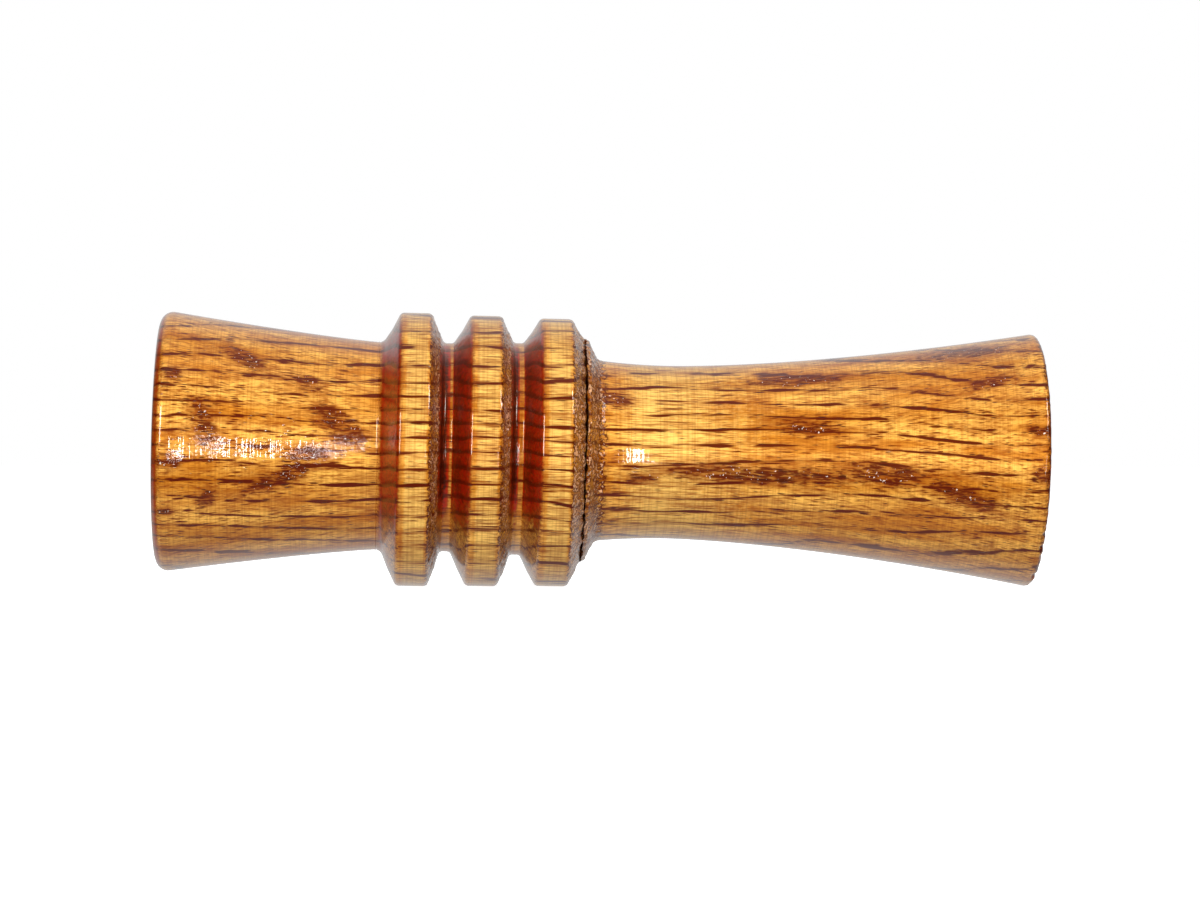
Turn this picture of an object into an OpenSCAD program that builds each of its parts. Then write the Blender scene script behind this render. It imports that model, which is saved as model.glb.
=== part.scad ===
// Turned wooden bird call that lies on its side. The barrel has the mouthpiece and the beads.
// The stopper plugs into the barrel with a tenon and two rubber rings. It ends in the flared
// exhaust, and carries the tone board, two reeds and the cork wedge that clamps them.
//
// X runs along the turning axis, from the mouth end to the exhaust end, and Z is up.
// Outlines are lists of [place along the axis, radius], counted from the mouth end.
// The origin is under the middle of the call, on the surface that the beads rest on.

/* [Barrel] */
// Length of the barrel, from the mouth end to the seam
barrel_len = 58.6; // [54:0.1:70]
// Widest diameter of the mouthpiece, behind its rounded lip
lip_d = 35.9; // [32:0.1:42]
// Radius of the lip's outer edge
lip_round = 1.7; // [0.6:0.1:2.6]
// Radius of the edge of the mouth bore
mouth_round = 1.6; // [0.4:0.1:2.4]
// Diameter of the waist in front of the beads
waist_d = 28.8; // [26:0.1:31]
// Bend of the mouthpiece's flare, where 1 is a straight cone
mouth_flare_power = 1.22; // [1:0.02:2]
// Radius of the cove between the waist and the first bead
waist_cove = 1.1; // [0.3:0.1:1.4]

/* [Beads] */
// Number of beads
bead_count = 3; // [2:1:4]
// Diameter of the bead nearest the mouth
bead_d = 38; // [33:0.1:44]
// How much smaller in diameter the bead at the seam is
bead_fall = 0.7; // [0:0.1:2]
// Length of the flat top of a bead
bead_top = 4.3; // [2.5:0.1:5]
// Length along the axis of the slope on a bead's mouth side
bead_front_run = 2.3; // [1.4:0.1:3]
// Length along the axis of the slope on a bead's exhaust side
bead_rear_run = 1.75; // [1.2:0.05:2.4]
// Radius of the beads' softened edges
bead_edge = 0.8; // [0.1:0.05:1]
// Diameter at the floor of the groove nearest the mouth
groove_front_d = 29; // [26:0.1:31]
// Diameter at the floor of the groove nearest the seam
groove_rear_d = 29.5; // [26:0.1:31]
// Length of a groove's floor
groove_floor = 1.35; // [1:0.05:2]
// Radius at the foot of a slope in a groove
groove_cove = 0.6; // [0.1:0.05:0.7]

/* [Stopper] */
// Length of the stopper outside the barrel, from the seam to the exhaust end
stopper_len = 63.2; // [55:0.1:80]
// Diameter of both pieces where they meet at the seam
collar_d = 31.1; // [29:0.1:34]
// Length of the collar's top
collar_w = 0.6; // [0.4:0.1:2]
// How much the collar's radius falls over its top
collar_fall = 0.3; // [0:0.05:0.6]
// Radius of the collar's softened edge
collar_edge = 0.35; // [0.1:0.05:0.4]
// Length along the axis of the slope from the collar down to the neck
collar_run = 1.3; // [0.8:0.1:2.5]
// Radius of the cove between the collar and the neck
neck_cove = 0.9; // [0.2:0.1:1.1]
// Diameter of the neck at the foot of the collar
neck_foot_d = 25.2; // [24.4:0.1:27]
// Smallest diameter of the neck
neck_d = 24.1; // [22:0.1:24.8]
// Distance from the seam to the smallest diameter of the neck
neck_at = 12; // [8:0.1:18]
// Diameter of the exhaust end
exhaust_d = 35.5; // [32:0.1:42]
// Bend of the exhaust's flare, where 1 is a straight cone
exhaust_flare_power = 1.58; // [1.2:0.02:2.2]
// Radius of the exhaust end's outer edge
exhaust_edge = 0.7; // [0.2:0.1:1.2]
// Length of the tenon that goes into the barrel
tenon_len = 21; // [19:0.1:24]
// Bevel at the tenon's front
tenon_bevel = 0.6; // [0.2:0.1:1]

/* [Bores] */
// Diameter of the bore in the mouthpiece
mouth_bore_d = 15.9; // [14:0.1:17]
// Distance from the mouth end to the end of that bore
mouth_bore_len = 10; // [6:0.1:14]
// Diameter of the barrel's socket, which takes the tenon
socket_d = 19.05; // [18.6:0.05:20]
// Length of the cone between the mouth bore and the socket
socket_cone = 1; // [0.4:0.1:3]
// Bevel at the socket's mouth
socket_bevel = 0.6; // [0.2:0.1:1]
// Wall of the tenon between a ring's groove and the seat of the tone board
seat_wall = 1.605; // [1:0.005:2.5]
// Depth of that seat, from the tenon's front
seat_depth = 24.5; // [21:0.1:28]
// Bevel at the mouth of that seat
seat_bevel = 0.4; // [0.1:0.1:0.8]
// Width of the step at the seat's end, where the narrower exhaust bore starts
seat_step = 1.6; // [1:0.05:2.4]
// Diameter of the bell that the exhaust bore opens into
bell_d = 24; // [18:0.1:28]
// Length of that bell
bell_len = 20; // [12:0.1:30]
// Radius of the bell's edge
bell_edge = 0.8; // [0.2:0.1:1.2]
// Bend of the bell, where 1 is a straight cone
bell_power = 2.2; // [1:0.1:3]

/* [Sealing rings] */
// Depth of the grooves in the tenon
ring_groove_depth = 1.5; // [1:0.05:1.8]
// Width of a ring along the axis, as squeezed in its groove
ring_w = 2.1; // [1.9:0.05:2.6]
// Distance from the seam to the middle of the front ring
front_ring_at = 15; // [12:0.1:16]
// Distance from the seam to the middle of the rear ring
rear_ring_at = 6; // [3:0.1:8]

/* [Tone board] */
// How far the tone board stands out of the tenon
board_reach = 24.6; // [20:0.1:30]
// Height of the reed table above the axis
table_h = 0.6; // [0:0.1:1]
// How far the table falls away between the wedge and the tip
table_drop = 1.2; // [0.6:0.1:1.8]
// Bend of the table, where 1 is a straight slope
table_power = 1.6; // [1:0.1:2.5]
// Thickness of the tone board beside the air trough
trough_wall = 3.1; // [2.4:0.1:4]
// Depth from the reed table to the axis of the trough's round floor
trough_sink = 1.2; // [0.8:0.1:1.8]
// Distance from the tip to the front of the trough
trough_lead = 4; // [2:0.1:7]
// Bevel round the tip
tip_bevel = 1.6; // [0.4:0.1:2.4]

/* [Reeds and wedge] */
// How far a reed's edges lie inside the tone board's round side
reed_inset = 0.3; // [0.2:0.05:1]
// Thickness of the lower reed
lower_reed_t = 0.36; // [0.25:0.01:0.5]
// Thickness of the upper reed
upper_reed_t = 0.26; // [0.18:0.01:0.4]
// Distance from the tone board's tip to the lower reed's tip
lower_reed_back = 1; // [0:0.1:3]
// Distance from the lower reed's tip to the upper reed's tip
upper_reed_back = 5; // [2:0.1:8]
// Length of the clipped corners at a reed's tip
reed_clip = 2.2; // [0.6:0.1:3.5]
// Height of the dimple that keeps the upper reed off the lower one
dimple_h = 0.3; // [0.1:0.05:0.5]
// Diameter of the dimple
dimple_d = 2.4; // [1.4:0.1:4]
// Distance from the wedge to the middle of the dimple
dimple_at = 8; // [4:0.1:12]
// Length of the cork wedge
wedge_len = 17.8; // [12:0.1:19]
// Distance from the tenon's front to the wedge's front
wedge_in = 0.6; // [0.2:0.1:1.5]
// Length of the slope at the wedge's front
wedge_slope = 3; // [1:0.1:6]

/* [Fits] */
// Gap between the barrel and the stopper's shoulder
seam_gap = 0.1; // [0.05:0.05:0.3]
// Clearance all round between the tenon and the socket
socket_clear = 0.07; // [0.03:0.01:0.1]
// Clearance all round between the tone board, the wedge and their seat
seat_clear = 0.05; // [0.02:0.01:0.1]
// Clearance of a sealing ring to the socket's wall and to its groove's floor
ring_clear = 0.03; // [0.02:0.01:0.08]
// Clearance of a sealing ring to the sides of its groove
ring_side_clear = 0.1; // [0.05:0.01:0.2]
// Clearance between the table, the reeds and the wedge, face to face
stack_clear = 0.02; // [0.01:0.01:0.05]

/* [Hidden] */

// How far every cutting solid runs past the surface that it cuts
overrun = 1;
// Straight steps that stand for a flare, a rounded edge, and a full turn
flare_steps = 24;
edge_steps = 5;
turn_steps = 96;

// The whole call along the axis, and its height over the surface that it rests on
call_len = barrel_len + stopper_len;
axis_h = max(bead_d, lip_d, exhaust_d) / 2;

// Radii that the outlines use
lip_r = lip_d / 2;
waist_r = waist_d / 2;
collar_r = collar_d / 2;
neck_foot_r = neck_foot_d / 2;
neck_r = neck_d / 2;
exhaust_r = exhaust_d / 2;
mouth_bore_r = mouth_bore_d / 2;
socket_r = socket_d / 2;
bell_r = bell_d / 2;
tenon_r = socket_r - socket_clear;
ring_floor_r = tenon_r - ring_groove_depth;
seat_r = ring_floor_r - seat_wall;
exhaust_bore_r = seat_r - seat_step;
board_r = seat_r - seat_clear;
trough_r = board_r - trough_wall;
reed_w = 2 * (board_r - reed_inset);

// The beads are counted from the mouth, and set out from the seam backwards
bead_pitch = bead_top + bead_rear_run + groove_floor + bead_front_run;
last_top_end = barrel_len - bead_rear_run;
function bead_start(i) = last_top_end - bead_top - (bead_count - 1 - i) * bead_pitch;
function bead_r(i) = (bead_d - bead_fall * i / (bead_count - 1)) / 2;
function groove_r(i) =
    (groove_front_d + (groove_rear_d - groove_front_d) * i / max(1, bead_count - 2)) / 2;
waist_end = bead_start(0) - bead_front_run;

// Places along the axis
shoulder_at = barrel_len + seam_gap;
collar_foot_at = shoulder_at + collar_w + collar_run;
neck_min_at = barrel_len + neck_at;
tenon_front = barrel_len - tenon_len;
seat_end = tenon_front + seat_depth;
board_tip = tenon_front - board_reach;
board_end = seat_end - seat_clear;
wedge_front = tenon_front + wedge_in;
wedge_end = wedge_front + wedge_len;
table_end = wedge_end + stack_clear;
lower_reed_tip = board_tip + lower_reed_back;
upper_reed_tip = lower_reed_tip + upper_reed_back;
dimple_mid = wedge_front - dimple_at;

// Heights over the axis of the faces that lie on one another
lower_reed_z = table_h + stack_clear;
upper_reed_z = lower_reed_z + lower_reed_t + stack_clear;
wedge_z = upper_reed_z + upper_reed_t + stack_clear;
// The upper reed climbs over its dimple, at this rate, from the wedge forwards
reed_climb = dimple_h / dimple_at;
trough_z = table_h - trough_sink;

// Points of an arc, from one angle to another
function arc(mid, radius, from, to) =
    [for (i = [0:edge_steps]) let (a = from + (to - from) * i / edge_steps)
        mid + radius * [cos(a), sin(a)]];

// An angle turned the short way round
function short_turn(a) = a > 180 ? a - 360 : a < -180 ? a + 360 : a;

// Points that round the corner at "at", between its neighbours, to a radius
function rounded(before, at, after, radius) =
    let (
        to_before = (before - at) / norm(before - at),
        to_after = (after - at) / norm(after - at),
        half = acos(to_before * to_after) / 2,
        middle = to_before + to_after,
        mid = at + middle / norm(middle) * radius / sin(half),
        start = at + to_before * radius / tan(half) - mid,
        end = at + to_after * radius / tan(half) - mid,
        from = atan2(start.y, start.x),
        turn = short_turn(atan2(end.y, end.x) - from)
    )
    arc(mid, radius, from, from + turn);

// A list of [place, radius, rounding] with each inner corner rounded
function softened(path) = [
    for (i = [1:len(path) - 2])
        let (before = path[i - 1], at = path[i], after = path[i + 1])
        each at[2] == 0
            ? [[at.x, at.y]]
            : rounded([before.x, before.y], [at.x, at.y], [after.x, after.y], at[2])
];

// Points of a flare from a start to an end, whose radius follows a power of the way left
function flare(start, end, power) =
    [for (i = [0:flare_steps - 1]) let (t = i / flare_steps)
        [start.x + (end.x - start.x) * t, end.y + (start.y - end.y) * pow(1 - t, power)]];

// Points between the two ends of a flare that opens forwards, from its narrow start
function opening(start, end, power) =
    let (points = flare(end, start, power)) [for (i = [flare_steps - 1:-1:1]) points[i]];

// Turns an outline round the axis of the call
module turned(outline) {
    translate([-call_len / 2, 0, axis_h])
        rotate([0, 90, 0])
            rotate_extrude($fn = turn_steps)
                polygon([for (point = outline) [point.y, point.x]]);
}

// Moves what is drawn from the mouth end, on the axis, to its place in the call
module at_axis(along = 0) {
    translate([along - call_len / 2, 0, axis_h]) children();
}

// Outline of the beads and grooves, from the waist to the seam, with its two end neighbours
function bead_path(before, after) = [
    [before.x, before.y, 0],
    [waist_end, waist_r, waist_cove],
    for (i = [0:bead_count - 1]) each [
        [bead_start(i), bead_r(i), bead_edge],
        [bead_start(i) + bead_top, bead_r(i), bead_edge],
        if (i < bead_count - 1) each [
            [bead_start(i) + bead_top + bead_rear_run, groove_r(i), groove_cove],
            [bead_start(i + 1) - bead_front_run, groove_r(i), groove_cove]
        ]
    ],
    [barrel_len, collar_r, 0],
    [after.x, after.y, 0]
];

module barrel() {
    // Angle between the axis and the flare where it leaves the lip
    lean = atan(mouth_flare_power * (lip_r - waist_r) / (waist_end - lip_round));
    lip_mid = [lip_round, lip_r - lip_round];
    lip = arc(lip_mid, lip_round, 180, 90 - lean);
    mouthpiece = flare(lip[edge_steps], [waist_end, waist_r], mouth_flare_power);
    seam_inside = [barrel_len, socket_r + socket_bevel];
    mouth_mid = [mouth_round, mouth_bore_r + mouth_round];
    color("peru")
        turned([
            each lip,
            each [for (i = [1:flare_steps - 1]) mouthpiece[i]],
            each softened(bead_path(mouthpiece[flare_steps - 1], seam_inside)),
            seam_inside,
            [barrel_len - socket_bevel, socket_r],
            [mouth_bore_len + socket_cone, socket_r],
            [mouth_bore_len, mouth_bore_r],
            each arc(mouth_mid, mouth_round, 270, 180)
        ]);
}

// The groove in the tenon for one sealing ring, in the middle of which "at" lies
function ring_groove(at) =
    let (half = ring_w / 2 + ring_side_clear)
    [[at - half, tenon_r], [at - half, ring_floor_r],
     [at + half, ring_floor_r], [at + half, tenon_r]];

module stopper() {
    neck_foot = [collar_foot_at, neck_foot_r];
    neck_min = [neck_min_at, neck_r];
    end_corner = [call_len, exhaust_r];
    bell_corner = [call_len, bell_r];
    bell_start = [call_len - bell_len, exhaust_bore_r];
    // The neck narrows from the collar's foot as a parabola, then the flare opens
    neck = flare(neck_foot, neck_min, 2);
    horn = opening(neck_min, end_corner, exhaust_flare_power);
    bell = flare(bell_corner, bell_start, bell_power);
    collar = [
        [shoulder_at, collar_r, 0],
        [shoulder_at + collar_w, collar_r - collar_fall, collar_edge],
        [neck_foot.x, neck_foot.y, neck_cove],
        [neck[3].x, neck[3].y, 0]
    ];
    mouth = [
        [horn[flare_steps - 2].x, horn[flare_steps - 2].y, 0],
        [end_corner.x, end_corner.y, exhaust_edge],
        [bell_corner.x, bell_corner.y, bell_edge],
        [bell[1].x, bell[1].y, 0]
    ];
    color("goldenrod")
        turned([
            [tenon_front, seat_r + seat_bevel],
            [tenon_front, tenon_r - tenon_bevel],
            [tenon_front + tenon_bevel, tenon_r],
            each ring_groove(barrel_len - front_ring_at),
            each ring_groove(barrel_len - rear_ring_at),
            [shoulder_at, tenon_r],
            [shoulder_at, collar_r],
            each softened(collar),
            each [for (i = [3:flare_steps - 1]) neck[i]],
            neck_min,
            each horn,
            each softened(mouth),
            each [for (i = [1:flare_steps - 1]) bell[i]],
            bell_start,
            [seat_end, exhaust_bore_r],
            [seat_end, seat_r],
            [tenon_front + seat_bevel, seat_r]
        ]);
}

// A rubber ring squeezed between its groove's floor and the socket, flat on both
module sealing_ring(at) {
    thick = socket_r - ring_floor_r - 2 * ring_clear;
    radius = ring_floor_r + ring_clear + thick / 2;
    flat = ring_w - thick;
    at_axis(at)
        rotate([0, 90, 0])
            rotate_extrude($fn = turn_steps)
                translate([radius, 0])
                    union() {
                        square([thick, flat], center = true);
                        for (side = [-1, 1])
                            translate([0, side * flat / 2]) circle(d = thick, $fn = turn_steps);
                    }
}

module o_ring_front() {
    color("dimgray") sealing_ring(barrel_len - front_ring_at);
}

module o_ring_rear() {
    color("dimgray") sealing_ring(barrel_len - rear_ring_at);
}

// A side view, as points of [place along the axis, height over it], given a width across
module across(width, side_view) {
    at_axis()
        rotate([90, 0, 0])
            linear_extrude(height = width, center = true)
                polygon(side_view);
}

// The space over the reed table, which falls away from the wedge to the tip
module over_table() {
    step_count = flare_steps / 2;
    curve = [for (i = [0:step_count]) let (t = i / step_count)
        [wedge_front + (board_tip - wedge_front) * t, table_h - table_drop * pow(t, table_power)]];
    across(2 * (board_r + overrun), [
        [table_end, board_r + overrun],
        [table_end, table_h],
        each curve,
        [board_tip - overrun, table_h - table_drop],
        [board_tip - overrun, board_r + overrun]
    ]);
}

// The air trough: open under the reeds, and a round tunnel behind the wedge
module air_trough() {
    start = board_tip + trough_lead + trough_r;
    at_axis(start)
        translate([0, 0, trough_z]) {
            sphere(trough_r, $fn = turn_steps);
            rotate([0, 90, 0])
                cylinder(r = trough_r, h = board_end + overrun - start, $fn = turn_steps);
            cylinder(r = trough_r, h = trough_sink + overrun, $fn = turn_steps);
            translate([0, -trough_r, 0])
                cube([table_end - start, 2 * trough_r, trough_sink + overrun]);
        }
}

module tone_board() {
    color("ivory")
        difference() {
            turned([
                [board_tip, 0],
                [board_tip, board_r - tip_bevel],
                [board_tip + tip_bevel, board_r],
                [board_end, board_r],
                [board_end, 0]
            ]);
            over_table();
            air_trough();
        }
}

// The plan of a reed, with its corners clipped at the tip
module reed_plan(tip) {
    half = reed_w / 2;
    at_axis()
        linear_extrude(height = board_r)
            polygon([
                [wedge_end, -half],
                [wedge_end, half],
                [tip + reed_clip, half],
                [tip, half - reed_clip],
                [tip, reed_clip - half],
                [tip + reed_clip, -half]
            ]);
}

module lower_reed() {
    color("lightblue")
        intersection() {
            reed_plan(lower_reed_tip);
            across(reed_w + overrun, [
                [lower_reed_tip - overrun, lower_reed_z],
                [wedge_end + overrun, lower_reed_z],
                [wedge_end + overrun, lower_reed_z + lower_reed_t],
                [lower_reed_tip - overrun, lower_reed_z + lower_reed_t]
            ]);
        }
}

module upper_reed() {
    far = upper_reed_tip - overrun;
    rise = (wedge_front - far) * reed_climb;
    color("aliceblue")
        union() {
            intersection() {
                reed_plan(upper_reed_tip);
                across(reed_w + overrun, [
                    [far, upper_reed_z + rise],
                    [wedge_front, upper_reed_z],
                    [wedge_end + overrun, upper_reed_z],
                    [wedge_end + overrun, upper_reed_z + upper_reed_t],
                    [wedge_front, upper_reed_z + upper_reed_t],
                    [far, upper_reed_z + upper_reed_t + rise]
                ]);
            }
            at_axis(dimple_mid)
                translate([0, 0, upper_reed_z])
                    cylinder(d1 = dimple_d / 2, d2 = dimple_d, h = dimple_h + upper_reed_t / 2,
                             $fn = turn_steps);
        }
}

module wedge() {
    color("burlywood")
        intersection() {
            turned([
                [wedge_front, 0],
                [wedge_front, board_r],
                [wedge_end, board_r],
                [wedge_end, 0]
            ]);
            across(2 * (board_r + overrun), [
                [wedge_front, wedge_z],
                [wedge_end, wedge_z],
                [wedge_end, board_r + overrun],
                [wedge_front + wedge_slope, board_r + overrun],
                [wedge_front + wedge_slope, board_r],
                [wedge_front, (wedge_z + board_r) / 2]
            ]);
        }
}

barrel();
stopper();
tone_board();
lower_reed();
upper_reed();
wedge();
o_ring_front();
o_ring_rear();
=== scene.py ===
import logging
import math
from contextlib import contextmanager
from dataclasses import dataclass, field
from enum import Enum
from functools import partial
from typing import Callable, Iterator

import bmesh
import bpy
from mathutils import Matrix, Vector


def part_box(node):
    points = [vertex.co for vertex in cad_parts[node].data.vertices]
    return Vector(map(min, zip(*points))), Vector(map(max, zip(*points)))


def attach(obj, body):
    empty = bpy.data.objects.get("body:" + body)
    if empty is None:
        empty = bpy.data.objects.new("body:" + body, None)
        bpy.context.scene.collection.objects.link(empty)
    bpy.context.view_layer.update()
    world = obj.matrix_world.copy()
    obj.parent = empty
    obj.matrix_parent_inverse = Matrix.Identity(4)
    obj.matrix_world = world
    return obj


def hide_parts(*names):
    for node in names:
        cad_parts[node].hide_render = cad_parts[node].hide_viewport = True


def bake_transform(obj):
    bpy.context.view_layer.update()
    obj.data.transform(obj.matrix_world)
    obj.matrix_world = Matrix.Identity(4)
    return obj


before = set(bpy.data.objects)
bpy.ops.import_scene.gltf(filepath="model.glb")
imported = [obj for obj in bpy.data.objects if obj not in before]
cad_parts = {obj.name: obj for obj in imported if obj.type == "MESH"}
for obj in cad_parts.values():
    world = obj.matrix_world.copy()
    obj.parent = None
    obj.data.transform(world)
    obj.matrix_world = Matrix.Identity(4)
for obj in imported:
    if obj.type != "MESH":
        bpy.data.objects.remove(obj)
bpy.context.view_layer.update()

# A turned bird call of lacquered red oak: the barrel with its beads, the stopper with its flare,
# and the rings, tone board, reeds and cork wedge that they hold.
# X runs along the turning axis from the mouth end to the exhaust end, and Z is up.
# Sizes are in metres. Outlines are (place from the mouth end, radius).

MM = 0.001
WELD = 0.001 * MM
NO_LIMIT = 9.0

# Blender's names of the nodes that are used most
MATH, VECTOR, RANGE = "ShaderNodeMath", "ShaderNodeVectorMath", "ShaderNodeMapRange"
MIX, NOISE, BUMP = "ShaderNodeMix", "ShaderNodeTexNoise", "ShaderNodeBump"
SPLIT, JOIN, CELLS = "ShaderNodeSeparateXYZ", "ShaderNodeCombineXYZ", "ShaderNodeTexVoronoi"

Node = bpy.types.Node
Socket = bpy.types.NodeSocket
Point = tuple[float, float]
Corner = tuple[float, float, float]
Fed = dict[int | str, object]
Put = Callable[..., Node]
Shares = dict[str, float]
log = logging.getLogger("bird_call")


class Side(Enum):
    """Which way a bead's slope faces along the axis."""

    MOUTH = -1
    EXHAUST = 1


class Lit(Enum):
    """What a light is for: the wood itself, its gloss, or both."""

    WOOD = (True, False)
    GLOSS = (False, True)
    BOTH = (True, True)


def linear(hex_colour: str) -> tuple[float, float, float, float]:
    """Turns an sRGB hex colour into Blender's linear colour.

    Args:
        hex_colour: a colour such as "#c88a3a".

    Returns:
        Linear red, green, blue, and full alpha.
    """
    parts = [int(hex_colour[i:i + 2], 16) / 255 for i in (1, 3, 5)]
    red, green, blue = (v / 12.92 if v <= 0.04045 else ((v + 0.055) / 1.055) ** 2.4 for v in parts)
    return red, green, blue, 1.0


def add(tree: bpy.types.NodeTree, kind: str, fed: Fed | tuple[object, ...] = (),
        **settings: object) -> Node:
    """Adds a node with its settings and links.

    Args:
        tree: the tree that gets the node.
        kind: Blender's name of the node type.
        fed: what each input gets, by its name or its place among the inputs in use, or in
            their order: a plain value, another node, whose first output in use is linked, or
            one of its outputs.
        settings: the node's own settings.

    Returns:
        The new node.
    """
    node = tree.nodes.new(kind)
    for name, value in settings.items():
        setattr(node, name, value)
    for key, value in fed.items() if isinstance(fed, dict) else enumerate(fed):
        used = [s for s in node.inputs if s.enabled]
        socket = used[key] if isinstance(key, int) else next(s for s in used if s.name == key)
        if isinstance(value, Node):
            value = next(s for s in value.outputs if s.enabled)
        if isinstance(value, Socket):
            tree.links.new(value, socket)
        else:
            socket.default_value = value
    return node


def arc(mid: Point, radius: float, start: float, end: float, steps: int = 5) -> list[Point]:
    """Points of an arc, from one angle in degrees to another."""
    angles = [math.radians(start + (end - start) * i / steps) for i in range(steps + 1)]
    return [(mid[0] + radius * math.cos(a), mid[1] + radius * math.sin(a)) for a in angles]


def flare(start: Point, end: Point, power: float, steps: int = 48) -> list[Point]:
    """Points from a start up to an end, left out, whose radius follows a power of the way left."""
    return [
        (start[0] + (end[0] - start[0]) * i / steps,
         end[1] + (start[1] - end[1]) * (1 - i / steps) ** power)
        for i in range(steps)
    ]


def softened(path: list[Corner]) -> list[Point]:
    """Rounds the inner corners of a path.

    Args:
        path: corners as (place, radius, rounding). The two ends only say where the path comes
            from and goes to.

    Returns:
        The points between the two ends.
    """
    points: list[Point] = []
    for before, at, after in zip(path, path[1:], path[2:]):
        here = Vector(at[:2])
        if not at[2]:
            points.append((at[0], at[1]))
            continue
        back = (Vector(before[:2]) - here).normalized()
        ahead = (Vector(after[:2]) - here).normalized()
        half = back.angle(ahead) / 2
        mid = here + (back + ahead).normalized() * at[2] / math.sin(half)
        first = here + back * at[2] / math.tan(half) - mid
        last = here + ahead * at[2] / math.tan(half) - mid
        start = math.degrees(math.atan2(first.y, first.x))
        turn = (math.degrees(math.atan2(last.y, last.x)) - start + 180) % 360 - 180
        points += arc((mid.x, mid.y), at[2], start, start + turn)
    return points


def divided(outline: list[Point], spacing: float) -> list[Point]:
    """Adds points to an open outline where they lie too far apart.

    Args:
        outline: its points.
        spacing: how far apart they may be.

    Returns:
        All the points, with both ends.
    """
    points = outline[:1]
    for before, after in zip(outline, outline[1:]):
        steps = max(1, math.ceil(math.dist(before, after) / spacing))
        points += [
            (before[0] + (after[0] - before[0]) * i / steps,
             before[1] + (after[1] - before[1]) * i / steps)
            for i in range(1, steps + 1)
        ]
    return points


def scored(outline: list[Point], place: float, half: float, depth: float) -> list[Point]:
    """Cuts a small V into an open outline.

    Args:
        outline: points whose places rise.
        place: where the V is.
        half: half its width.
        depth: its depth.

    Returns:
        The outline with the V.
    """
    i = next(i for i, point in enumerate(outline) if point[0] > place)
    radius = (outline[i - 1][1] + outline[i][1]) / 2
    before = [p for p in outline[:i] if p[0] < place - half]
    after = [p for p in outline[i:] if p[0] > place + half]
    cut = [(place - half, radius), (place, radius - depth), (place + half, radius)]
    return before + cut + after


def eased(value: float, low: float, high: float) -> float:
    """Rises smoothly from 0 at low to 1 at high, or falls where low is the larger."""
    share = min(1.0, max(0.0, (value - low) / (high - low)))
    return share * share * (3 - 2 * share)


def piece(name: str, mesh: bpy.types.Mesh, finish: bpy.types.Material) -> bpy.types.Object:
    """Puts a mesh that is already in place into the scene.

    Args:
        name: the piece's name.
        mesh: its mesh.
        finish: its material.

    Returns:
        The piece at the origin.
    """
    thing = bpy.data.objects.new(name, mesh)
    bpy.context.scene.collection.objects.link(thing)
    mesh.materials.clear()
    mesh.materials.append(finish)
    return thing


def settled(thing: bpy.types.Object) -> None:
    """Applies an object's modifiers to its mesh.

    Args:
        thing: the object.
    """
    graph = bpy.context.evaluated_depsgraph_get()
    mesh = bpy.data.meshes.new_from_object(
        thing.evaluated_get(graph), preserve_all_data_layers=True, depsgraph=graph)
    thing.modifiers.clear()
    thing.data = mesh


@contextmanager
def opened(mesh: bpy.types.Mesh) -> Iterator[bmesh.types.BMesh]:
    """Opens a mesh for changes and writes it back.

    Args:
        mesh: the mesh.

    Yields:
        What the changes are made on.
    """
    shell = bmesh.new()
    shell.from_mesh(mesh)
    yield shell
    shell.to_mesh(mesh)
    shell.free()


# Finishes


@dataclass(frozen=True)
class Finish:
    """What a piece is made of and how its surface was made."""

    name: str

    def surface(self, put: Put, place: Socket) -> Fed:
        """Draws the finish.

        Args:
            put: adds a node to the material.
            place: the place on the piece, in metres.

        Returns:
            What the shader's inputs get, by their names.
        """
        raise NotImplementedError

    def material(self) -> bpy.types.Material:
        """Builds the node material.

        Returns:
            The material, whose pattern is solid and lies in the piece's own place.
        """
        made = bpy.data.materials.new(self.name)
        made.use_nodes = True
        made.node_tree.nodes.clear()
        put = partial(add, made.node_tree)
        place = put("ShaderNodeTexCoord").outputs["Object"]
        shader = put("ShaderNodeBsdfPrincipled", self.surface(put, place))
        put("ShaderNodeOutputMaterial", {"Surface": shader})
        return made


@dataclass(frozen=True)
class Fleck:
    """A patch of dense, torn pores that slants across the grain, in millimetres.

    Attributes:
        place: its middle along X, from the middle of the call.
        height: its middle over the table.
        length: half its length.
        width: half its width.
        slant: how it rises towards +X, in degrees.
    """

    place: float
    height: float
    length: float
    width: float
    slant: float


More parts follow.
